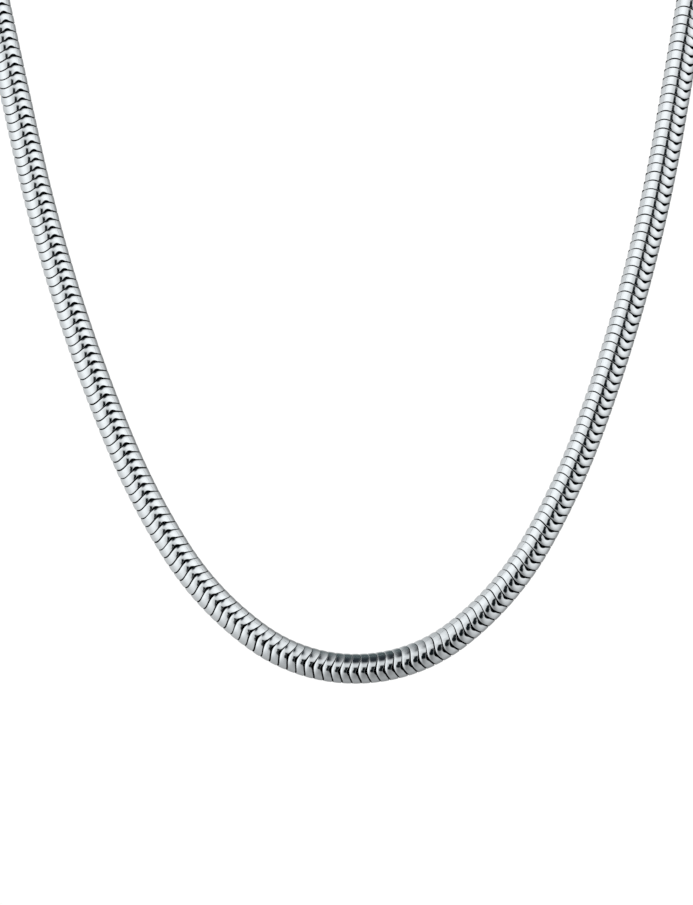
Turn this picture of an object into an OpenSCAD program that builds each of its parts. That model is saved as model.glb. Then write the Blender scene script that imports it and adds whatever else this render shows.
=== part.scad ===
// Round snake chain necklace: a closed loop of interlocking waved links, held by a barrel clasp at the nape.

/* [Chain] */
// Outside diameter of the chain
chain_d = 5; // [4.8:0.1:5.2]
// Distance from one link to the next along the chain
link_pitch = 1.47; // [1.47:0.01:1.55]
// Real links on each side of the lowest point
links_per_side = 120; // [20:1:120]

/* [Link] */
// Length of the band along one straight line of its side
band_l = 1.2; // [1.1:0.01:1.2]
// Wall of the band
band_wall = 0.3; // [0.25:0.01:0.32]
// Tilt of the three planes that cut each waved end
wave_tilt = 32; // [28:1:33]
// Outside radius of the collar that enters the link behind
collar_r = 1.75; // [1.6:0.01:1.78]
// Wall of the collar
collar_wall = 0.25; // [0.2:0.01:0.4]
// Outside radius of the lip on the collar's end
lip_r = 2.04; // [2.0:0.01:2.05]
// Inside radius of the ledge that keeps the lip in
ledge_r = 1.93; // [1.92:0.01:1.96]
// Thickness of the lip and the ledge
rim_t = 0.12; // [0.1:0.01:0.13]
// Clear length ahead of the lip and behind it, for the bend of the chain
lip_play = 0.21; // [0.2:0.01:0.22]

/* [Loop] */
// Radius of the clasp, which is a little over the chain's
clasp_r = 3.3; // [3.2:0.1:4]
// Length of the clasp
clasp_l = 24; // [20:1:30]
// How far each chain end goes into the clasp
clasp_depth = 3; // [2:0.5:5]
// Running gap round a chain end in the clasp
clasp_gap = 0.15; // [0.1:0.05:0.3]
// Height above the lowest point at which the loop starts to lean back round the neck
lean_start = 113.5; // [90:0.5:120]

/* [Hidden] */
$fn = 48;

// Half of the flat U, from the lowest point outwards: each row is a stretch's length and its turn in degrees.
LENGTH = 0;
TURN = 1;
u_rows = [
    [18, 37],
    [20, 22],
    [20, 9.5],
    [53, 10.5],
    [23, 0]
];

// How the wave is turned about the chain: distance from the lowest point, and the place of a wave's rear tip,
// measured from the front of the chain towards the inside of the loop.
wave_turn_rows = [
    [-109, 25],
    [-51, 16],
    [-30, 7],
    [-9, -7],
    [11, -19],
    [49, -27],
    [99, -39]
];

chain_r = chain_d / 2;
band_bore = chain_r - band_wall;
wave_mean = 0.75 * chain_r * tan(wave_tilt);
// Heights of the flat features inside a link, from its middle. The lip is inside the link behind.
web_z = [-0.2, -0.05];
ledge_z = [for (z = [0, rim_t]) web_z[1] + 2 * lip_play + rim_t + z];
lip_z = [for (z = [0, rim_t]) web_z[1] + lip_play - link_pitch + z];
// A wave's lobes stand this far ahead of its mean height, and the blank band is a little longer than that.
lobe_h = 0.25 * chain_r * tan(wave_tilt);
blank_z = band_l / 2 + lobe_h + 0.1;
// Half the side of the boxes that cut the waves, well past the chain's own radius
reach = 2 * chain_r;

u_end = walk(u_rows, sum_of(u_rows, LENGTH));
// One arc carries on from the end of the U and is level where it meets the straight clasp.
back_turn = 180 - u_end[2];
back_r = (u_end[0] - clasp_l / 2) / sin(u_end[2]);
back_l = back_r * back_turn * PI / 180;
loop_rows = concat(u_rows, [[back_l, back_turn], [clasp_l / 2, 0]]);
half_l = sum_of(loop_rows, LENGTH);
top_h = walk(loop_rows, half_l)[1];
// The lean is a quarter turn by the time the loop reaches the clasp.
lean_r = (top_h - lean_start) * 2 / PI;
clasp_pos = bent(0, top_h);
seat = clasp_pos - [0, 0, clasp_r];

// The plain tubes start just past the last real link and end inside the clasp.
tube_sides = 10;
tube_steps = 10;
tube_start_gap = 0.6 * link_pitch;
tube_from = links_per_side * link_pitch + tube_start_gap;
tube_to = half_l - clasp_l / 2 + clasp_depth;

function sum_of(rows, column, i = 0) = i == len(rows) ? 0 : rows[i][column] + sum_of(rows, column, i + 1);

// The state [x, height, heading] after a stretch of length l that turns by t degrees.
function step(at, l, t) =
    t == 0
    ? [at[0] + l * cos(at[2]), at[1] + l * sin(at[2]), at[2]]
    : let (r = l * 180 / (PI * t), h = at[2] + t)
      [at[0] + r * (sin(h) - sin(at[2])), at[1] + r * (cos(at[2]) - cos(h)), h];

// The state at distance s along the rows, which stops at their end.
function walk(rows, s, at = [0, 0, 0], i = 0) =
    i == len(rows) || s <= 0
    ? at
    : let (part = min(s, rows[i][LENGTH]))
      walk(rows, s - part, step(at, part, rows[i][TURN] * part / rows[i][LENGTH]), i + 1);

// Flat state on either side of the lowest point, with travel from the left limb to the right one.
function flat(s) = let (w = walk(loop_rows, abs(s))) s < 0 ? [-w[0], w[1], -w[2]] : w;

function lean(h) = h <= lean_start ? 0 : (h - lean_start) / lean_r * 180 / PI;

// A point of the flat sheet once it leans back over a quarter circle.
function bent(x, h) =
    let (a = lean(h))
    [x, lean_r * (1 - cos(a)), min(h, lean_start) + lean_r * sin(a)];

// Place of the chain's centre line, in the part's own frame.
function place(s) = let (w = flat(s)) bent(w[0], w[1]) - seat;

// Unit vectors there: out to the front of the sheet, away from the inside of the loop, and along the chain.
function front(s) = let (a = lean(flat(s)[1])) [0, -cos(a), sin(a)];
function along(s) =
    let (w = flat(s), a = lean(w[1]))
    [cos(w[2]), sin(w[2]) * sin(a), sin(w[2]) * cos(a)];
function outer(s) = cross(along(s), front(s));

// Puts a child that is built along +Z, with its front to +X, at distance s.
module at(s) {
    f = front(s);
    o = outer(s);
    a = along(s);
    p = place(s);
    multmatrix([
        [f[0], o[0], a[0], p[0]],
        [f[1], o[1], a[1], p[1]],
        [f[2], o[2], a[2], p[2]]
    ]) children();
}

// A box that fills one side of a wave plane: side is 1 for the part ahead of it and -1 for the part behind.
module plane_side(k, z, side) {
    rotate([0, 0, 60 + 120 * k])
        translate([0, 0, z - wave_mean])
            rotate([0, -wave_tilt, 0])
                translate([-reach, -reach, side > 0 ? 0 : -2 * reach])
                    cube(2 * reach);
}

// All that lies ahead of the waved face at height z.
module ahead_of_wave(z) {
    intersection() {
        plane_side(0, z, 1);
        plane_side(1, z, 1);
        plane_side(2, z, 1);
    }
}

// The outer band: both ends are cut by three tilted planes, and a ledge stands inside its three forward lobes.
module band() {
    difference() {
        rotate_extrude() polygon([
            [band_bore, -blank_z],
            [chain_r, -blank_z],
            [chain_r, blank_z],
            [band_bore, blank_z],
            [band_bore, ledge_z[1]],
            [ledge_r, ledge_z[1]],
            [ledge_r, ledge_z[0]],
            [band_bore, ledge_z[0]]
        ]);
        ahead_of_wave(band_l / 2);
        for (k = [0:2]) plane_side(k, -band_l / 2, -1);
    }
}

// The web and the collar, whose lip sits behind the ledge of the link behind.
module collar() {
    inner_r = collar_r - collar_wall;
    rotate_extrude() polygon([
        [inner_r, lip_z[0]],
        [lip_r, lip_z[0]],
        [lip_r, lip_z[1]],
        [collar_r, lip_z[1]],
        [collar_r, web_z[0]],
        [band_bore + band_wall / 2, web_z[0]],
        [band_bore + band_wall / 2, web_z[1]],
        [inner_r, web_z[1]]
    ]);
}

module link() {
    band();
    collar();
}

module links(first, last) {
    for (i = [first:last]) {
        s = (i + 0.5) * link_pitch;
        at(s) rotate([0, 0, -lookup(s, wave_turn_rows)]) link();
    }
}

function ring(s) = [
    for (j = [0:tube_sides - 1])
        let (a = 360 * j / tube_sides)
        place(s) + chain_r * (cos(a) * front(s) + sin(a) * outer(s))
];

// The plain tube that stands for the links of the hidden stretch, swept from distance s0 up to s1.
module tube(s0, s1) {
    rings = [for (i = [0:tube_steps]) ring(s0 + (s1 - s0) * i / tube_steps)];
    walls = [
        for (i = [0:tube_steps - 1], j = [0:tube_sides - 1])
            let (a = i * tube_sides + j, b = i * tube_sides + (j + 1) % tube_sides)
            [a, a + tube_sides, b + tube_sides, b]
    ];
    start_cap = [for (j = [0:tube_sides - 1]) j];
    end_cap = [for (j = [tube_sides - 1:-1:0]) tube_steps * tube_sides + j];
    polyhedron([for (r = rings) each r], concat([start_cap], walls, [end_cap]));
}

module chain_left() {
    color("silver") {
        links(-links_per_side, -1);
        tube(-tube_to, -tube_from);
    }
}

module chain_right() {
    color("silver") {
        links(0, links_per_side - 1);
        tube(tube_from, tube_to);
    }
}

// A barrel with rounded shoulders and a blind socket in each end.
module clasp() {
    half = clasp_l / 2;
    round_r = 0.5;
    socket_r = chain_r + clasp_gap;
    socket_l = clasp_depth + clasp_gap;
    color("gainsboro")
        translate(clasp_pos - seat)
            rotate([0, 90, 0])
                difference() {
                    rotate_extrude() polygon(concat(
                        [[0, -half]],
                        [for (a = [-90:15:0]) [clasp_r - round_r + round_r * cos(a), -half + round_r + round_r * sin(a)]],
                        [for (a = [0:15:90]) [clasp_r - round_r + round_r * cos(a), half - round_r + round_r * sin(a)]],
                        [[0, half]]
                    ));
                    for (side = [-1, 1])
                        translate([0, 0, side * (half - socket_l / 2 + 1)])
                            cylinder(r = socket_r, h = socket_l + 2, center = true);
                }
}

chain_left();
chain_right();
clasp();
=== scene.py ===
"""Round snake chain necklace: modelled links, a turned clasp, steel finishes, and a plain studio stage."""

import collections
import math

import bpy
import numpy as np
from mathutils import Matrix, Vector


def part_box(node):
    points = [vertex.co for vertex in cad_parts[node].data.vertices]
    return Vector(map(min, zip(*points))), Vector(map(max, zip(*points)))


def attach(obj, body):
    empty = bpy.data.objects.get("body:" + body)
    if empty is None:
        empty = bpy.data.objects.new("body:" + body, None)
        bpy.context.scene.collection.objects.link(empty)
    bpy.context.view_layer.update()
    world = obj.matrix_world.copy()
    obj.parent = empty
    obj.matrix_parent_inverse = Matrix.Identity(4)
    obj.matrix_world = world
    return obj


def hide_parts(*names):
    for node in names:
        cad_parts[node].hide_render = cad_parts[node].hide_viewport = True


bl_info = {
    "name": "Snake Chain Necklace",
    "version": (1, 0, 0),
    "blender": (4, 5, 0),
    "location": "View3D > Sidebar > Necklace",
    "description": "Dresses the packed necklace with links, a clasp, steel finishes and a studio stage",
    "category": "Object",
}

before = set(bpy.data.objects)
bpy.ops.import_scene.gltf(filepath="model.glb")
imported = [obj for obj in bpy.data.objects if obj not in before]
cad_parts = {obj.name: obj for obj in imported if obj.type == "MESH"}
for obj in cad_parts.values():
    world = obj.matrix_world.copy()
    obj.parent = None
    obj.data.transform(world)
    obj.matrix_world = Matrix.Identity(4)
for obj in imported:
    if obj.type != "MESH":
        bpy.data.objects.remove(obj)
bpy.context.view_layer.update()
clasp_low, clasp_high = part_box("clasp")
clasp_centre = (clasp_low + clasp_high) / 2
clasp_half = (clasp_high.x - clasp_low.x) / 2
clasp_radius = (clasp_high.z - clasp_low.z) / 2

# The flat U from its lowest point outwards: the length of each stretch in metres, and its turn in degrees.
U_STRETCHES = (
    (0.018, 37.0),
    (0.020, 22.0),
    (0.020, 9.5),
    (0.053, 10.5),
    (0.023, 0.0),
)

# How the links are turned about the chain: the distance from the lowest point in metres, and the place of
# a link's rear tip in degrees, from the front of the chain towards the inside of the loop.
LINK_TURNS = (
    (-0.109, 25.0),
    (-0.051, 16.0),
    (-0.030, 7.0),
    (-0.009, -7.0),
    (0.011, -19.0),
    (0.049, -27.0),
    (0.099, -39.0),
)

# Waves round a link, and the angle from one rear tip to the next
WAVES = 3
TIP_TO_TIP = 2 * math.pi / WAVES

# Half of the loop: the knots where its stretches meet, and the radius that it leans back on
LoopLayout = collections.namedtuple("LoopLayout", "distance heading across height lean_radius")


class NecklaceChainSettings(bpy.types.PropertyGroup):
    """Sizes of the links and of the loop that they follow."""

    radius: bpy.props.FloatProperty(
        name="Chain Radius",
        description="Outside radius of a link at its crown",
        default=0.0025,
        precision=5,
        unit="LENGTH",
    )
    pitch: bpy.props.FloatProperty(
        name="Link Pitch",
        description="Distance from one link to the next along the chain",
        default=0.00147,
        precision=5,
        unit="LENGTH",
    )
    wave_height: bpy.props.FloatProperty(
        name="Wave Height",
        description="Height of the waved ends from a rear tip to a forward lobe",
        default=0.00062,
        precision=6,
        unit="LENGTH",
    )
    ridge_share: bpy.props.FloatProperty(
        name="Ridge Share",
        description="How far the wave is a sharp ridge of three planes and not a sine",
        default=0.05,
        min=0,
        max=1,
        subtype="FACTOR",
    )
    rear_reach: bpy.props.FloatProperty(
        name="Rear Reach",
        description="Distance from a link's middle back to its rear edge",
        default=0.0006,
        precision=5,
        unit="LENGTH",
    )
    seam_lobe: bpy.props.FloatProperty(
        name="Seam at a Lobe",
        description="Width of the seam where a link bulges forward",
        default=0.00016,
        precision=6,
        unit="LENGTH",
    )
    seam_tip: bpy.props.FloatProperty(
        name="Seam at a Tip",
        description="Width of the seam where the next link's rear tip tucks under",
        default=0.0004,
        precision=6,
        unit="LENGTH",
    )
    tip_spread: bpy.props.FloatProperty(
        name="Tip Spread",
        description="Angle to either side of a rear tip over which the seam narrows again",
        default=math.radians(16),
        subtype="ANGLE",
        unit="ROTATION",
    )
    seam_depth: bpy.props.FloatProperty(
        name="Seam Depth",
        description="Depth of the seam between two links, down to the collar inside",
        default=0.00085,
        precision=5,
        unit="LENGTH",
    )
    edge_roll: bpy.props.FloatProperty(
        name="Edge Roll",
        description="Size of the rolled edges at a link's ends",
        default=0.00002,
        precision=6,
        unit="LENGTH",
    )
    # Painted shade fades out up this wall, from full at its foot to none at the rear edge.
    wall_height: bpy.props.FloatProperty(
        name="Wall Height",
        description="Height of the polished wall below a link's rear edge",
        default=0.00008,
        precision=5,
        unit="LENGTH",
    )
    tuck_drop: bpy.props.FloatProperty(
        name="Tuck Drop",
        description="How far a link's rear tip tucks in below its crown",
        default=0.0001,
        precision=6,
        unit="LENGTH",
    )
    tuck_length: bpy.props.FloatProperty(
        name="Tuck Length",
        description="Length over which a link rises from its rear tip",
        default=0.0004,
        precision=5,
        unit="LENGTH",
    )
    tuck_spread: bpy.props.FloatProperty(
        name="Tuck Spread",
        description="Angle to either side of a rear tip over which the tuck fades out",
        default=math.radians(50),
        subtype="ANGLE",
        unit="ROTATION",
    )
    crown_radius: bpy.props.FloatProperty(
        name="Crown Radius",
        description="Radius of a link's crown along the chain, at a rear tip",
        default=0.004,
        precision=5,
        unit="LENGTH",
    )
    crown_at_lobe: bpy.props.FloatProperty(
        name="Crown at a Lobe",
        description="Share of the crown that is left where a link bulges forward",
        default=0.4,
        min=0,
        max=1,
        subtype="FACTOR",
    )
    crown_place: bpy.props.FloatProperty(
        name="Crown Place",
        description="Distance of the crown's line ahead of a link's middle",
        default=0.00015,
        precision=5,
        unit="LENGTH",
    )
    crown_share: bpy.props.FloatProperty(
        name="Crown Share",
        description="How far the line of a link's crown follows its wave",
        default=0.1,
        min=0,
        max=1,
        subtype="FACTOR",
    )
    columns: bpy.props.IntProperty(
        name="Columns", description="Mesh columns round a link", default=54, min=12
    )
    column_crowding: bpy.props.FloatProperty(
        name="Column Crowding",
        description="How much the mesh columns crowd towards the rear tips",
        default=0.5,
        min=0,
        max=0.9,
        subtype="FACTOR",
    )
    tilt_spread: bpy.props.FloatProperty(
        name="Link Tilt Spread",
        description="How much the links lie out of true, each in its own way",
        default=math.radians(0.35),
        subtype="ANGLE",
        unit="ROTATION",
    )
    lean_start: bpy.props.FloatProperty(
        name="Lean Start",
        description="Height above the lowest point at which the loop starts to lean back",
        default=0.1135,
        precision=4,
        unit="LENGTH",
    )
    clasp_depth: bpy.props.FloatProperty(
        name="Depth in the Clasp",
        description="How far each chain end goes into the clasp",
        default=0.003,
        precision=4,
        unit="LENGTH",
    )


class NecklaceClaspSettings(bpy.types.PropertyGroup):
    """Sizes of the barrel clasp. Its length and radius come from the CAD model."""

    shoulder: bpy.props.FloatProperty(
        name="Shoulder",
        description="Radius of the rounded shoulders",
        default=0.0005,
        precision=5,
        unit="LENGTH",
    )
    mouth: bpy.props.FloatProperty(
        name="Mouth",
        description="Radius of the rounded edge of a socket's mouth",
        default=0.000075,
        precision=6,
        unit="LENGTH",
    )
    socket_radius: bpy.props.FloatProperty(
        name="Socket Radius",
        description="Radius of the socket that a chain end goes into",
        default=0.00265,
        precision=5,
        unit="LENGTH",
    )
    socket_depth: bpy.props.FloatProperty(
        name="Socket Depth",
        description="Depth of the socket in each end",
        default=0.00315,
        precision=5,
        unit="LENGTH",
    )
    line_inset: bpy.props.FloatProperty(
        name="Line Inset",
        description="Distance of each turned line from its end of the clasp",
        default=0.0018,
        precision=5,
        unit="LENGTH",
    )
    line_width: bpy.props.FloatProperty(
        name="Line Width",
        description="Width of the turned lines",
        default=0.00024,
        precision=6,
        unit="LENGTH",
    )
    line_depth: bpy.props.FloatProperty(
        name="Line Depth",
        description="Depth of the turned lines",
        default=0.00009,
        precision=6,
        unit="LENGTH",
    )
    columns: bpy.props.IntProperty(
        name="Columns", description="Mesh columns round the clasp", default=96, min=12
    )


class NecklaceFinishSettings(bpy.types.PropertyGroup):
    """Colours, polish and fine relief of the two steels, and the colour of the shade painted into their
    seams.
    """

    chain_color: bpy.props.FloatVectorProperty(
        name="Chain Steel",
        description="Colour of the mirror-polished links",
        default=(0.675, 0.712, 0.732),
        size=3,
        min=0,
        max=1,
        subtype="COLOR",
    )
    clasp_color: bpy.props.FloatVectorProperty(
        name="Clasp Steel",
        description="Colour of the turned and polished clasp",
        default=(0.655, 0.68, 0.695),
        size=3,
        min=0,
        max=1,
        subtype="COLOR",
    )
    # Painted shade: this colour darkens the steel in the seams and recesses, where shade falls.
    painted_shade_color: bpy.props.FloatVectorProperty(
        name="Painted Seam Shade",
        description="Shade painted deep in the seams",
        default=(0.008, 0.011, 0.013),
        size=3,
        min=0,
        max=1,
        subtype="COLOR",
    )
    chain_roughness: bpy.props.FloatProperty(
        name="Chain Roughness",
        description="Roughness of the polished crowns",
        default=0.10,
        min=0,
        max=1,
        subtype="FACTOR",
    )
    clasp_roughness: bpy.props.FloatProperty(
        name="Clasp Roughness",
        description="Roughness of the turned clasp",
        default=0.2,
        min=0,
        max=1,
        subtype="FACTOR",
    )
    chain_grain: bpy.props.FloatProperty(
        name="Chain Grain", description="Clouds of the links' polish to a metre", default=900.0
    )
    clasp_grain: bpy.props.FloatProperty(
        name="Clasp Grain", description="Clouds of the clasp's polish to a metre", default=1500.0
    )
    chain_relief: bpy.props.FloatProperty(
        name="Chain Relief",
        description="Depth of the fine waves and scratches in the links",
        default=0.000005,
        precision=6,
        unit="LENGTH",
    )
    clasp_relief: bpy.props.FloatProperty(
        name="Clasp Relief",
        description="Depth of the fine waves and scratches in the clasp",
        default=0.000002,
        precision=6,
        unit="LENGTH",
    )


class NecklaceStageSettings(bpy.types.PropertyGroup):
    """The photograph's frame, and the light tent, side lights and floor round the necklace."""

    photo_width: bpy.props.IntProperty(
        name="Photo Width", description="Width of the picture", default=693, subtype="PIXEL"
    )
    photo_height: bpy.props.IntProperty(
        name="Photo Height", description="Height of the picture", default=905, subtype="PIXEL"
    )
    photo_scale: bpy.props.FloatProperty(
        name="Photo Scale",
        description="Pixels for each metre in the plane of the hanging U",
        default=6000,
    )
    lowest_column: bpy.props.FloatProperty(
        name="Lowest Point's Column",
        description="Picture column of the chain's centre line at its lowest point",
        default=359.0,
        subtype="PIXEL",
    )
    lowest_row: bpy.props.FloatProperty(
        name="Lowest Point's Row",
        description="Picture row of the chain's centre line at its lowest point",
        default=668.7,
        subtype="PIXEL",
    )
    camera_roll: bpy.props.FloatProperty(
        name="Camera Roll",
        description="How far the necklace hangs out of plumb in the picture",
        default=math.radians(1.24),
        subtype="ANGLE",
        unit="ROTATION",
    )
    camera_distance: bpy.props.FloatProperty(
        name="Camera Distance",
        description="Distance of the camera from the plane of the hanging U",
        default=1.6,
        unit="LENGTH",
    )
    tent_strength: bpy.props.FloatProperty(
        name="Tent Strength", description="Brightness of the tent's brightest cloth", default=1.4
    )
    backdrop_strength: bpy.props.FloatProperty(
        name="Backdrop Strength", description="Brightness of the white backdrop", default=1.03
    )
    gap_half_width: bpy.props.FloatProperty(
        name="Camera Gap",
        description="Half the sideways reach of the tent's gap in front of the camera",
        default=0.17,
    )
    gap_lean: bpy.props.FloatProperty(
        name="Camera Gap Lean",
        description="How far the gap in front of the camera leans to the right for each step up",
        default=0.1,
    )
    gap_top: bpy.props.FloatProperty(
        name="Camera Gap Top", description="Upward reach of the gap in front of the camera", default=0.2
    )
    side_strength: bpy.props.FloatProperty(
        name="Side Strength", description="Brightness of the large light on each side", default=0.6
    )
    floor_drop: bpy.props.FloatProperty(
        name="Floor Drop",
        description="Distance of the floor below the necklace's seat",
        default=0.30,
        unit="LENGTH",
    )
    floor_color: bpy.props.FloatVectorProperty(
        name="Floor",
        description="Colour of the pale floor",
        default=(0.78, 0.79, 0.79),
        size=3,
        min=0,
        max=1,
        subtype="COLOR",
    )


def loop_knots(lengths, turns):
    """Distance, heading, place across and height at the ends of the stretches of half a loop.

    A stretch that turns evenly has a chord of length x sin(turn/2) / (turn/2) along its mean heading.
    """
    heading = np.concatenate(([0.0], np.cumsum(turns)))
    chord = lengths * np.sinc(turns / (2 * np.pi))
    mean = heading[:-1] + turns / 2
    across = np.concatenate(([0.0], np.cumsum(chord * np.cos(mean))))
    height = np.concatenate(([0.0], np.cumsum(chord * np.sin(mean))))
    distance = np.concatenate(([0.0], np.cumsum(lengths)))
    return distance, heading, across, height


def loop_layout(chain):
    """Lays out half of the loop, from its lowest point to the middle of the clasp.

    One arc closes the U on to the straight clasp, so it turns through what is left of half a turn. The
    lean is a quarter turn over the height from its start to the top.
    """
    lengths, degrees = np.transpose(U_STRETCHES)
    turns = np.radians(degrees)
    _, heading, across, _ = loop_knots(lengths, turns)
    back_turn = np.pi - heading[-1]
    back_radius = (across[-1] - clasp_half) / np.sin(heading[-1])
    lengths = np.append(lengths, [back_radius * back_turn, clasp_half])
    turns = np.append(turns, [back_turn, 0.0])
    distance, heading, across, height = loop_knots(lengths, turns)
    lean_radius = (height[-1] - chain.lean_start) * 2 / np.pi
    return LoopLayout(distance, heading, across, height, lean_radius)


def loop_frames(chain, layout, distance):
    """Centre, front, outer and along vectors of the loop at signed distances from its lowest point.

    The flat place follows the stretch that holds the distance, mirrored for the left half. Above the
    lean's start it bends back over a quarter circle: depth = radius x (1 - cos lean), and height = radius
    x sin lean.
    """
    reach = np.abs(distance)
    side = np.sign(distance)
    row = np.searchsorted(layout.distance, reach, side="right") - 1
    row = np.clip(row, 0, len(layout.distance) - 2)
    heading = np.interp(reach, layout.distance, layout.heading)
    turn = heading - layout.heading[row]
    chord = (reach - layout.distance[row]) * np.sinc(turn / (2 * np.pi))
    mean = layout.heading[row] + turn / 2
    across = side * (layout.across[row] + chord * np.cos(mean))
    height = layout.height[row] + chord * np.sin(mean)
    heading = side * heading
    lean = np.maximum(0.0, height - chain.lean_start) / layout.lean_radius
    depth = layout.lean_radius * (1 - np.cos(lean))
    rise = np.minimum(height, chain.lean_start) + layout.lean_radius * np.sin(lean)
    centre = np.stack((
        across + clasp_centre.x,
        depth - layout.lean_radius + clasp_centre.y,
        rise - chain.lean_start - layout.lean_radius + clasp_centre.z,
    ), axis=-1)
    front = np.stack((np.zeros_like(lean), -np.cos(lean), np.sin(lean)), axis=-1)
    along = np.stack((
        np.cos(heading),
        np.sin(heading) * np.sin(lean),
        np.sin(heading) * np.cos(lean),
    ), axis=-1)
    return centre, front, np.cross(along, front), along


def link_rows(chain, angle):
    """Heights, radii and painted seam shade of a link's rows, from the seam's floor behind it to the one
    ahead.

    Both ends follow a wave of three lobes, part sine and part the ridge of three crossing planes: height =
    wave_height / 2 x (share x (4 x cos(lobe angle) - 3) + (1 - share) x cos(3 x lobe angle)), where the
    lobe angle is from the nearest lobe. The seam is seam_lobe wide and widens to seam_tip at the rear tips
    by 1 - (angle from the tip / tip_spread) squared. The band rises from its tucked rear edge by tuck_drop
    x (1 - distance / tuck_length) squared, and the tuck fades out round the link by (1 - (angle from the
    tip / tuck_spread) squared) squared. The band is crowned along the chain by bend x (distance from the
    crown line) squared. The bend is 1 / (2 x crown_radius) at a rear tip and crown_at_lobe of that at a
    lobe. The crown line is crown_place ahead of the link's middle and follows the wave by crown_share. A
    wall of wall_height stands below the rear edge.
    """
    # Painted shade: the seam's dark is painted on to the band itself, just short of its front edge.
    painted_rim_shade = 0.85
    roll = chain.edge_roll
    past_roll = 3 * roll
    from_lobe = np.mod(angle, TIP_TO_TIP) - TIP_TO_TIP / 2
    ridge = 4 * np.cos(from_lobe) - 3
    sine = np.cos(WAVES * from_lobe)
    wave = chain.wave_height / 2 * (chain.ridge_share * ridge + (1 - chain.ridge_share) * sine)
    from_tip = TIP_TO_TIP / 2 - np.abs(from_lobe)
    swell = np.maximum(0.0, 1 - (from_tip / chain.tip_spread) ** 2)
    seam = chain.seam_lobe + (chain.seam_tip - chain.seam_lobe) * swell
    rear = wave - chain.rear_reach
    ahead = rear + chain.pitch - seam
    drop = chain.tuck_drop * np.maximum(0.0, 1 - (from_tip / chain.tuck_spread) ** 2) ** 2
    tip_share = (1 - sine) / 2
    bend = (chain.crown_at_lobe + (1 - chain.crown_at_lobe) * tip_share) / (2 * chain.crown_radius)
    crown_line = chain.crown_place + chain.crown_share * wave

    def band_depth(height):
        tuck = np.maximum(0.0, 1 - (height - rear) / chain.tuck_length) ** 2
        return drop * tuck + bend * (height - crown_line) ** 2

    floor = np.full_like(rear, chain.seam_depth)
    tucked = rear + chain.tuck_length
    # Painted shade: full on the seam's floor and walls, fading out up the rear wall, none on the band but
    # its rim.
    rows = [
        (rear + roll, floor, 1.0),
        (rear, band_depth(rear) + chain.wall_height, 1.0),
        (rear, band_depth(rear) + roll, 0.0),
    ]
    for height, shade in (
        (rear + roll, 0.0),
        (rear + past_roll, 0.0),
        (rear + chain.tuck_length / 2, 0.0),
        (tucked, 0.0),
        ((tucked + ahead) / 2, 0.0),
        (ahead - past_roll, 0.0),
        (ahead - roll, painted_rim_shade),
    ):
        rows.append((height, band_depth(height), shade))
    rows.append((ahead, band_depth(ahead) + roll, 1.0))
    rows.append((ahead - roll, floor, 1.0))
    heights, depths, shades = (np.array(column) for column in zip(*rows))
    return heights, chain.radius - depths, shades


def link_rings(chain, numbers, seed):
    """Rings of points and painted seam shades for a run of links.

    A point is centre + radius x (cos(angle - turn) x front + sin(angle - turn) x outer) + height x along,
    in its own link's straight frame, where the front and outer vectors carry the link's small tilts. The
    columns stand at even steps less crowding / 3 x sin(3 x the even angle), which draws them towards the
    rear tips.
    """
    even = np.arange(chain.columns) * 2 * np.pi / chain.columns
    angle = even - chain.column_crowding / WAVES * np.sin(WAVES * even)
    heights, radii, shades = link_rows(chain, angle)
    distance = (numbers + 0.5) * chain.pitch
    centre, front, outer, along = loop_frames(chain, loop_layout(chain), distance)
    turn_places, turn_degrees = np.transpose(LINK_TURNS)
    turn = np.radians(np.interp(distance, turn_places, turn_degrees))
    tilt = np.random.default_rng(seed).normal(0.0, chain.tilt_spread, (len(numbers), 3))
    # The third draw turns a link about the chain, with twice the spread of its two tilts.
    turn = turn + 2 * tilt[:, 2]
    along = along + tilt[:, :1] * front + tilt[:, 1:2] * outer
    front = front - tilt[:, :1] * along
    outer = outer - tilt[:, 1:2] * along
    around = (angle - turn[:, None])[:, None, :, None]
    points = (
        centre[:, None, None, :]
        + radii[None, :, :, None] * np.cos(around) * front[:, None, None, :]
        + radii[None, :, :, None] * np.sin(around) * outer[:, None, None, :]
        + heights[None, :, :, None] * along[:, None, None, :]
    )
    rings = points.reshape(-1, chain.columns, 3)
    return rings, np.tile(shades, len(numbers))


def arc_rows(middle, centre_radius, size, start, end, count):
    """Rows of a round edge in the clasp's outline, without seam shade.

    Distance = middle + size x sin(angle), and radius = centre_radius + size x cos(angle).
    """
    angle = np.linspace(start, end, count)
    return np.stack((
        middle + size * np.sin(angle),
        centre_radius + size * np.cos(angle),
        np.zeros(count),
    ), axis=-1)


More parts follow.
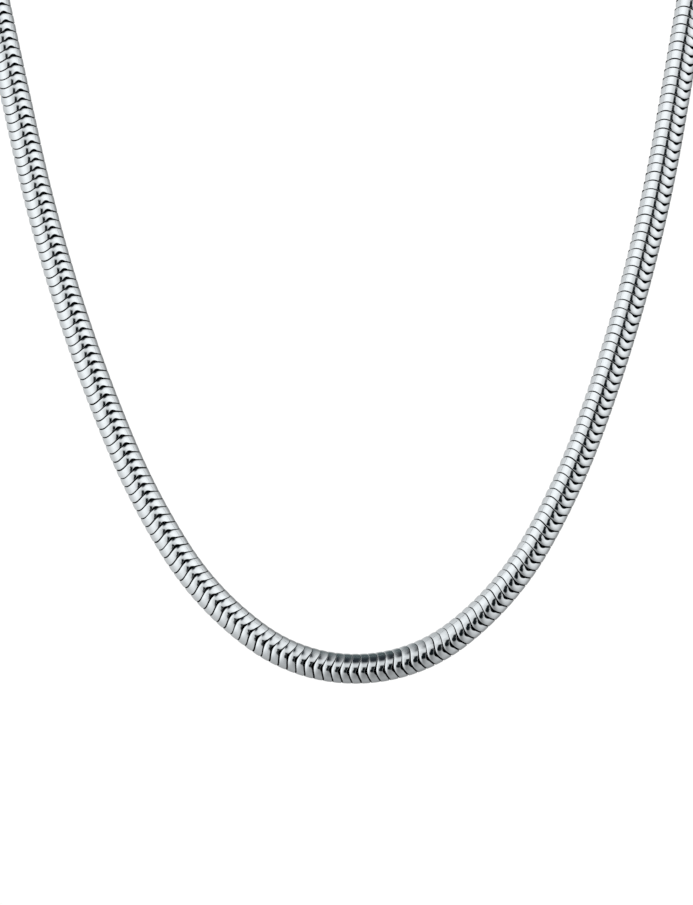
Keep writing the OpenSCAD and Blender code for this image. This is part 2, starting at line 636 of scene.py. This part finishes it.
def clasp_profile(clasp):
    """Half of the clasp's outline, from the centre of a socket's floor to the middle of the barrel.

    Rows of distance from the middle, radius and painted seam shade: the socket, its rounded mouth, the
    shoulder as a quarter circle, one turned line whose cross-section is half a sine, and the plain barrel.
    """
    # Painted shade just inside the mouth and in the turned line, where shade falls
    painted_recess_shade = 0.8
    floor = clasp_half - clasp.socket_depth
    socket = (
        (floor, clasp.socket_radius / 2, 1.0),
        (floor, clasp.socket_radius, 1.0),
        (clasp_half - 2 * clasp.mouth, clasp.socket_radius, painted_recess_shade),
    )
    mouth_radius = clasp.socket_radius + clasp.mouth
    mouth = arc_rows(
        clasp_half - clasp.mouth, mouth_radius, clasp.mouth, start=np.pi, end=np.pi / 2, count=5
    )
    shoulder_radius = clasp_radius - clasp.shoulder
    shoulder = arc_rows(
        clasp_half - clasp.shoulder, shoulder_radius, clasp.shoulder, start=np.pi / 2, end=0.0, count=13
    )
    across = np.linspace(1.0, -1.0, num=9)
    dip = np.cos(across * np.pi / 2)
    line = np.stack((
        clasp_half - clasp.line_inset + across * clasp.line_width / 2,
        clasp_radius - clasp.line_depth * dip,
        painted_recess_shade * dip,
    ), axis=-1)
    # The plain barrel starts well inside the turned line and ends next to its mirror image.
    place = clasp_half * np.linspace(0.75, 0.05, num=8)
    barrel = np.stack((place, np.full_like(place, clasp_radius), np.zeros_like(place)), axis=-1)
    return np.concatenate((socket, mouth, shoulder, line, barrel))


def clasp_rings(clasp):
    """Rings of points and painted seam shades for the clasp, along its own axis from left to right.

    A point is centre + (distance, radius x cos(angle), radius x sin(angle)), with the outline mirrored for
    the left half.
    """
    rows = clasp_profile(clasp)
    rows = np.concatenate((rows * (-1, 1, 1), rows[::-1]))
    place, radius, shades = rows.T
    angle = np.arange(clasp.columns) * 2 * np.pi / clasp.columns
    rings = np.stack((
        np.broadcast_to(place[:, None], (len(rows), clasp.columns)),
        radius[:, None] * np.cos(angle),
        radius[:, None] * np.sin(angle),
    ), axis=-1)
    return rings + np.array(clasp_centre), shades


def closed_tube(name, rings, shades):
    """A smooth mesh object from rings of points in order along it, closed by a pole at each end.

    Columns run so that the faces point outwards. The painted shade of each ring goes into the point
    attribute "seam".
    """
    count, columns, _ = rings.shape
    poles = rings[[0, -1]].mean(axis=1)
    points = np.concatenate((rings.reshape(-1, 3), poles))
    first = np.arange(columns)
    second = np.roll(first, -1)
    starts = (np.arange(count - 1) * columns)[:, None]
    quads = np.stack((
        starts + first,
        starts + second,
        starts + columns + second,
        starts + columns + first,
    ), axis=-1).reshape(-1, 4)
    last = (count - 1) * columns
    near_pole = np.full(columns, count * columns)
    near_cap = np.stack((second, first, near_pole), axis=-1)
    far_cap = np.stack((last + first, last + second, near_pole + 1), axis=-1)
    mesh = bpy.data.meshes.new(name)
    mesh.from_pydata(points.tolist(), [], quads.tolist() + near_cap.tolist() + far_cap.tolist())
    mesh.polygons.foreach_set("use_smooth", np.ones(len(mesh.polygons), dtype=bool))
    attribute = mesh.attributes.new("seam", "FLOAT", "POINT")
    values = np.concatenate((np.repeat(shades, columns), shades[[0, -1]]))
    attribute.data.foreach_set("value", values.astype(np.float32))
    piece = bpy.data.objects.new(name, mesh)
    bpy.context.scene.collection.objects.link(piece)
    return piece


def add_node(tree, kind, values=None, **settings):
    """A new shader node with its settings, and values on its input sockets by name or number."""
    node = tree.nodes.new(kind)
    for key, value in settings.items():
        setattr(node, key, value)
    for key, value in (values or {}).items():
        node.inputs[key].default_value = value
    return node


def named_socket(sockets, key):
    """The socket with this number, or the enabled one with this name, as a Mix node has several of each."""
    if isinstance(key, int):
        return sockets[key]
    return next(socket for socket in sockets if socket.name == key and socket.enabled)


def steel_surface_group():
    """The shader group that both steels share: painted seam shade, clouded polish, fine waves and
    scratches.
    """
    # The scratches are this many times finer than the clouds, and the seams this much rougher.
    fineness = 4.0
    seam_roughness = 0.45
    group = bpy.data.node_groups.new("Steel Surface", "ShaderNodeTree")
    sockets = (
        ("Steel Color", "NodeSocketColor", "INPUT"),
        # The seam mask paints shade: it mixes the shade colour over the steel in the seams and recesses.
        ("Painted Shade Color", "NodeSocketColor", "INPUT"),
        ("Seam", "NodeSocketFloat", "INPUT"),
        ("Roughness", "NodeSocketFloat", "INPUT"),
        ("Grain Scale", "NodeSocketFloat", "INPUT"),
        ("Relief", "NodeSocketFloat", "INPUT"),
        ("Color", "NodeSocketColor", "OUTPUT"),
        ("Roughness", "NodeSocketFloat", "OUTPUT"),
        ("Normal", "NodeSocketVector", "OUTPUT"),
    )
    for name, kind, side in sockets:
        group.interface.new_socket(name=name, in_out=side, socket_type=kind)
    given = add_node(group, "NodeGroupInput")
    result = add_node(group, "NodeGroupOutput")
    place = add_node(group, "ShaderNodeTexCoord")
    cloud = add_node(group, "ShaderNodeTexNoise", {"Detail": 3.0, "Roughness": 0.6})
    scratch = add_node(group, "ShaderNodeTexNoise", {"Detail": 5.0, "Roughness": 0.65, "Distortion": 0.3})
    finer = add_node(group, "ShaderNodeMath", {1: fineness}, operation="MULTIPLY")
    tint = add_node(group, "ShaderNodeMapRange", {"To Min": 0.93, "To Max": 1.04})
    tinted = add_node(group, "ShaderNodeMix", {"Factor": 1.0}, data_type="RGBA", blend_type="MULTIPLY")
    # Painted shade: the seam mask darkens the tinted steel towards the shade colour.
    painted_shade = add_node(group, "ShaderNodeMix", data_type="RGBA")
    polish = add_node(group, "ShaderNodeMapRange", {"To Min": 0.7, "To Max": 1.35})
    polished = add_node(group, "ShaderNodeMath", operation="MULTIPLY")
    roughened = add_node(group, "ShaderNodeMath", {1: seam_roughness}, operation="MULTIPLY_ADD")
    bump = add_node(group, "ShaderNodeBump", {"Strength": 1.0})
    for source, output, target, socket in (
        (place, "Object", cloud, "Vector"),
        (place, "Object", scratch, "Vector"),
        (given, "Grain Scale", cloud, "Scale"),
        (given, "Grain Scale", finer, 0),
        (finer, 0, scratch, "Scale"),
        (cloud, "Fac", tint, "Value"),
        (given, "Steel Color", tinted, "A"),
        (tint, "Result", tinted, "B"),
        (given, "Seam", painted_shade, "Factor"),
        (tinted, "Result", painted_shade, "A"),
        (given, "Painted Shade Color", painted_shade, "B"),
        (cloud, "Fac", polish, "Value"),
        (polish, "Result", polished, 0),
        (given, "Roughness", polished, 1),
        (given, "Seam", roughened, 0),
        (polished, 0, roughened, 2),
        (scratch, "Fac", bump, "Height"),
        (given, "Relief", bump, "Distance"),
        (painted_shade, "Result", result, "Color"),
        (roughened, 0, result, "Roughness"),
        (bump, "Normal", result, "Normal"),
    ):
        group.links.new(named_socket(source.outputs, output), named_socket(target.inputs, socket))
    return group


def steel_material(name, color, painted_shade_color, roughness, grain, relief):
    """A metal whose colour, polish and relief come from the shared group, and its painted seam shade from
    "seam".
    """
    material = bpy.data.materials.new(name)
    material.use_nodes = True
    tree = material.node_tree
    shader = tree.nodes["Principled BSDF"]
    shader.inputs["Metallic"].default_value = 1.0
    surface = add_node(
        tree,
        "ShaderNodeGroup",
        node_tree=bpy.data.node_groups.get("Steel Surface") or steel_surface_group(),
    )
    for key, value in (
        ("Steel Color", (*color, 1.0)),
        ("Painted Shade Color", (*painted_shade_color, 1.0)),
        ("Roughness", roughness),
        ("Grain Scale", grain),
        ("Relief", relief),
    ):
        surface.inputs[key].default_value = value
    # The seam attribute is the painted shade of the seams and recesses.
    seam = add_node(tree, "ShaderNodeAttribute", attribute_name="seam", attribute_type="GEOMETRY")
    tree.links.new(seam.outputs["Fac"], surface.inputs["Seam"])
    for output, target in (("Color", "Base Color"), ("Roughness", "Roughness"), ("Normal", "Normal")):
        tree.links.new(surface.outputs[output], shader.inputs[target])
    return material


def math_node(tree, operation, *values):
    """The result of a Math node whose inputs are numbers or the sockets that feed them."""
    node = add_node(tree, "ShaderNodeMath", operation=operation)
    for number, value in enumerate(values):
        if isinstance(value, bpy.types.NodeSocket):
            tree.links.new(value, node.inputs[number])
        else:
            node.inputs[number].default_value = value
    return node.outputs[0]


def fade(tree, value, edge):
    """A smooth step from 0 where the value is at the edge's first number to 1 where it is at its second."""
    start, end = edge
    node = add_node(
        tree, "ShaderNodeMapRange", {"From Min": start, "From Max": end}, interpolation_type="SMOOTHSTEP"
    )
    tree.links.new(value, node.inputs["Value"])
    return node.outputs["Result"]


def grey_ramp(tree, value, stops):
    """A ramp of greys through stops of value and brightness."""
    node = add_node(tree, "ShaderNodeValToRGB")
    tree.links.new(value, node.inputs["Fac"])
    elements = node.color_ramp.elements
    while len(elements) < len(stops):
        elements.new(0.5)
    for element, (position, grey) in zip(elements, stops):
        element.position = position
        element.color = (grey, grey, grey, 1.0)
    return node.outputs["Color"]


def mix_colors(tree, share, first, second):
    """The first color where the share is 0 and the second where it is 1; each is a color or a socket."""
    node = add_node(tree, "ShaderNodeMix", data_type="RGBA")
    tree.links.new(share, named_socket(node.inputs, "Factor"))
    for key, value in (("A", first), ("B", second)):
        socket = named_socket(node.inputs, key)
        if isinstance(value, bpy.types.NodeSocket):
            tree.links.new(value, socket)
        else:
            socket.default_value = (*value, 1.0)
    return named_socket(node.outputs, "Result")


# Brightness of the tent's cloth to the sides, and of the ground. Each row is how a direction faces, from 0
# straight away from the camera to 1 straight at it, and the brightness there.
CLOTH_STOPS = (
    (0.0, 0.71),
    (0.03, 0.45),
    (0.115, 0.55),
    (0.25, 0.60),
    (0.415, 0.67),
    (0.585, 0.86),
    (0.75, 1.0),
    (0.885, 0.94),
    (0.97, 0.66),
)
GROUND_STOPS = (
    (0.1, 0.27),
    (0.415, 0.34),
    (0.75, 0.25),
)

# Soft edges of the tent's darker places: where each starts and where it is complete
BACK_RIGHT_ACROSS = (-0.2, 0.3)
BACK_RIGHT_FACING = (-0.17, -0.75)
WEDGE_CORE = (0.46, 0.12)
WEDGE_HAZE = (0.95, 0.30)
WEDGE_FRONT_END = (0.98, 0.58)
WEDGE_BACK_END = (-0.95, -0.6)
DUSK_CHANGE = (0.4, -0.5)
GAP_FACING = (0.78, 0.86)
GAP_SIDES = (0.03, -0.03)
GAP_SPREADING = (-0.05, -0.3)
GAP_TOP_EDGE = 0.06

# Shares and colours of those places. The wedge is this far left of straight overhead, in radians.
BACK_RIGHT_SHADE = 0.5
GROUND_POWER = 3.0
WEDGE_PLACE = 0.02
WEDGE_CORE_SHARE = 0.77
GAP_WIDENING = 0.10
DUSK_FRONT = (0.018, 0.022, 0.028)
DUSK_BACK = (0.075, 0.10, 0.104)
GAP_COLOR = (0.004, 0.0065, 0.008)


def light_tent(stage):
    """A world like the inside of a light tent, white to the eye of the camera.

    Directions are told by how far they face the camera (1 straight at it, -1 straight away from it), by
    their reach across and up, and by how far they lean from straight up. The cloth is brightest to the
    front and sides, greyer round the camera and towards the back, and most so at the back on the right. It
    darkens downwards by the cube of the lean's cosine. The gap overhead is a dark wedge close to the middle
    plane, and the gap that the camera looks through leans a little and widens downwards over its stand.
    """
    world = bpy.data.worlds.new("Light Tent")
    world.use_nodes = True
    tree = world.node_tree
    background = tree.nodes["Background"]
    place = add_node(tree, "ShaderNodeTexCoord")
    axes = add_node(tree, "ShaderNodeSeparateXYZ")
    tree.links.new(place.outputs["Generated"], axes.inputs[0])
    across, away, up = axes.outputs
    facing = math_node(tree, "MULTIPLY", away, -1.0)
    front_share = math_node(tree, "MULTIPLY_ADD", facing, 0.5, 0.5)
    lean = math_node(tree, "ARCTAN2", across, up)

    cloth = grey_ramp(tree, front_share, CLOTH_STOPS)
    on_right = fade(tree, across, BACK_RIGHT_ACROSS)
    back_right = math_node(tree, "MULTIPLY", on_right, fade(tree, facing, BACK_RIGHT_FACING))
    back_right = math_node(tree, "MULTIPLY", back_right, BACK_RIGHT_SHADE)
    cloth = mix_colors(tree, back_right, cloth, (0.0, 0.0, 0.0))
    below = math_node(tree, "MULTIPLY", math_node(tree, "COSINE", lean), -1.0)
    below = math_node(tree, "POWER", math_node(tree, "MAXIMUM", below, 0.0), GROUND_POWER)
    cloth = mix_colors(tree, below, cloth, grey_ramp(tree, front_share, GROUND_STOPS))

    off_top = math_node(tree, "ABSOLUTE", math_node(tree, "ADD", lean, WEDGE_PLACE))
    wedge = math_node(tree, "MULTIPLY", fade(tree, off_top, WEDGE_CORE), WEDGE_CORE_SHARE)
    haze = fade(tree, off_top, WEDGE_HAZE)
    wedge = math_node(tree, "MULTIPLY_ADD", haze, 1 - WEDGE_CORE_SHARE, wedge)
    for end in (WEDGE_FRONT_END, WEDGE_BACK_END):
        wedge = math_node(tree, "MULTIPLY", wedge, fade(tree, facing, end))
    dusk = mix_colors(tree, fade(tree, facing, DUSK_CHANGE), DUSK_FRONT, DUSK_BACK)
    cloth = mix_colors(tree, wedge, cloth, dusk)

    spreading = fade(tree, up, GAP_SPREADING)
    half_gap = math_node(tree, "MULTIPLY_ADD", spreading, GAP_WIDENING, stage.gap_half_width)
    off_middle = math_node(tree, "ABSOLUTE", math_node(tree, "MULTIPLY_ADD", up, -stage.gap_lean, across))
    gap = fade(tree, math_node(tree, "SUBTRACT", off_middle, half_gap), GAP_SIDES)
    gap = math_node(tree, "MULTIPLY", gap, fade(tree, facing, GAP_FACING))
    top_edge = (stage.gap_top + GAP_TOP_EDGE, stage.gap_top - GAP_TOP_EDGE)
    gap = math_node(tree, "MULTIPLY", gap, fade(tree, up, top_edge))
    cloth = mix_colors(tree, gap, cloth, GAP_COLOR)

    path = add_node(tree, "ShaderNodeLightPath")
    white = stage.backdrop_strength / stage.tent_strength
    cloth = mix_colors(tree, path.outputs["Is Camera Ray"], cloth, (white, white, white))
    tree.links.new(cloth, background.inputs["Color"])
    background.inputs["Strength"].default_value = stage.tent_strength
    return world


class NECKLACE_OT_chain(bpy.types.Operator):
    """Models both halves of the chain, link by link up to the clasp, in mirror-polished steel"""

    bl_idname = "necklace.chain"
    bl_label = "Chain Halves"

    def execute(self, context):
        chain = context.scene.necklace_chain
        finish = context.scene.necklace_finish
        half_length = loop_layout(chain).distance[-1]
        per_side = int((half_length - clasp_half + chain.clasp_depth) / chain.pitch)
        steel = steel_material(
            "chain_steel",
            finish.chain_color,
            finish.painted_shade_color,
            finish.chain_roughness,
            finish.chain_grain,
            finish.chain_relief,
        )
        for name, links_name, numbers, seed in (
            ("chain_left", "links_left", np.arange(-per_side, 0), 3),
            ("chain_right", "links_right", np.arange(0, per_side), 4),
        ):
            rings, shades = link_rings(chain, numbers, seed)
            piece = closed_tube(links_name, rings, shades)
            piece.data.materials.append(steel)
            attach(piece, "root")
            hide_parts(name)
        return {"FINISHED"}


class NECKLACE_OT_clasp(bpy.types.Operator):
    """Turns the barrel clasp as one closed surface about its own axis"""

    bl_idname = "necklace.clasp"
    bl_label = "Clasp"

    def execute(self, context):
        finish = context.scene.necklace_finish
        steel = steel_material(
            "clasp_steel",
            finish.clasp_color,
            finish.painted_shade_color,
            finish.clasp_roughness,
            finish.clasp_grain,
            finish.clasp_relief,
        )
        rings, shades = clasp_rings(context.scene.necklace_clasp)
        piece = closed_tube("barrel_clasp", rings, shades)
        piece.data.materials.append(steel)
        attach(piece, "root")
        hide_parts("clasp")
        return {"FINISHED"}


class NECKLACE_OT_stage(bpy.types.Operator):
    """Sets up the light tent, pale floor, soft side lights and the camera at the photograph's angle"""

    bl_idname = "necklace.stage"
    bl_label = "Stage and Camera"

    def execute(self, context):
        scene = context.scene
        stage = scene.necklace_stage
        scene.view_settings.view_transform = "Standard"
        scene.world = light_tent(stage)
        self.add_floor(stage)
        self.add_lights(stage)
        self.add_camera(scene, stage)
        return {"FINISHED"}

    def add_floor(self, stage):
        """A round pale floor, under the necklace and wide of it."""
        sides = 64
        radius = 1.1
        roughness = 0.9
        angle = np.arange(sides) * 2 * np.pi / sides
        height = np.full(sides, -stage.floor_drop)
        rim = np.stack((radius * np.cos(angle), radius * np.sin(angle), height), axis=-1)
        mesh = bpy.data.meshes.new("floor")
        mesh.from_pydata(rim.tolist(), [], [tuple(range(sides))])
        floor = bpy.data.objects.new("floor", mesh)
        material = bpy.data.materials.new("pale_floor")
        material.use_nodes = True
        shader = material.node_tree.nodes["Principled BSDF"]
        shader.inputs["Base Color"].default_value = (*stage.floor_color, 1.0)
        shader.inputs["Roughness"].default_value = roughness
        mesh.materials.append(material)
        floor.visible_glossy = False
        bpy.context.scene.collection.objects.link(floor)

    def add_lights(self, stage):
        """One large soft light high on each side for the floor. The steel shows only the tent."""
        size = 0.9
        distance = 1.0
        height = 0.5
        tilt = math.radians(60)
        for name, azimuth in (("side_light_left", -50), ("side_light_right", 50)):
            data = bpy.data.lights.new(name, "AREA")
            data.shape = "SQUARE"
            data.size = size
            # The radiance of a flat light is its power over pi and its area.
            data.energy = stage.side_strength * math.pi * size ** 2
            light = bpy.data.objects.new(name, data)
            turn = math.radians(azimuth)
            light.location = (distance * math.sin(turn), -distance * math.cos(turn), height)
            light.rotation_euler = (tilt, 0.0, turn)
            light.visible_camera = False
            light.visible_glossy = False
            bpy.context.scene.collection.objects.link(light)

    def add_camera(self, scene, stage):
        """A long lens level with the necklace, square on to the hanging U and rolled as the photo is."""
        sensor = 36.0
        chain = scene.necklace_chain
        centres = loop_frames(chain, loop_layout(chain), np.zeros(1))[0]
        lowest = centres[0]
        right = (stage.photo_width / 2 - stage.lowest_column) / stage.photo_scale
        up = (stage.lowest_row - stage.photo_height / 2) / stage.photo_scale
        roll = stage.camera_roll
        data = bpy.data.cameras.new("camera")
        data.sensor_width = sensor
        data.lens = sensor * stage.camera_distance * stage.photo_scale / stage.photo_height
        data.clip_start = 0.01
        camera = bpy.data.objects.new("camera", data)
        camera.location = (
            lowest[0] + right * math.cos(roll) + up * math.sin(roll),
            lowest[1] - stage.camera_distance,
            lowest[2] - right * math.sin(roll) + up * math.cos(roll),
        )
        camera.rotation_euler = (math.pi / 2, roll, 0.0)
        scene.collection.objects.link(camera)
        scene.camera = camera


class NECKLACE_PT_panel(bpy.types.Panel):
    """Lists the necklace's pieces, its stage and their settings"""

    bl_label = "Snake Chain Necklace"
    bl_idname = "NECKLACE_PT_panel"
    bl_space_type = "VIEW_3D"
    bl_region_type = "UI"
    bl_category = "Necklace"

    def draw(self, context):
        for group, operator in (
            ("necklace_chain", "necklace.chain"),
            ("necklace_clasp", "necklace.clasp"),
            ("necklace_finish", None),
            ("necklace_stage", "necklace.stage"),
        ):
            settings = getattr(context.scene, group)
            box = self.layout.box()
            for name in settings.bl_rna.properties.keys():
                if name not in ("rna_type", "name"):
                    box.prop(settings, name)
            if operator:
                box.operator(operator)


SETTINGS = (
    ("necklace_chain", NecklaceChainSettings),
    ("necklace_clasp", NecklaceClaspSettings),
    ("necklace_finish", NecklaceFinishSettings),
    ("necklace_stage", NecklaceStageSettings),
)
TOOLS = (NECKLACE_OT_chain, NECKLACE_OT_clasp, NECKLACE_OT_stage, NECKLACE_PT_panel)


def register():
    """Adds the settings to the scene, and the operators and the panel to Blender."""
    for name, group in SETTINGS:
        bpy.utils.register_class(group)
        setattr(bpy.types.Scene, name, bpy.props.PointerProperty(type=group))
    for tool in TOOLS:
        bpy.utils.register_class(tool)


def unregister():
    """Takes away what register added, last first."""
    for tool in reversed(TOOLS):
        bpy.utils.unregister_class(tool)
    for name, group in reversed(SETTINGS):
        delattr(bpy.types.Scene, name)
        bpy.utils.unregister_class(group)


def main():
    register()
    bpy.ops.necklace.stage()
    bpy.ops.necklace.chain()
    bpy.ops.necklace.clasp()


if __name__ == "__main__":
    main()
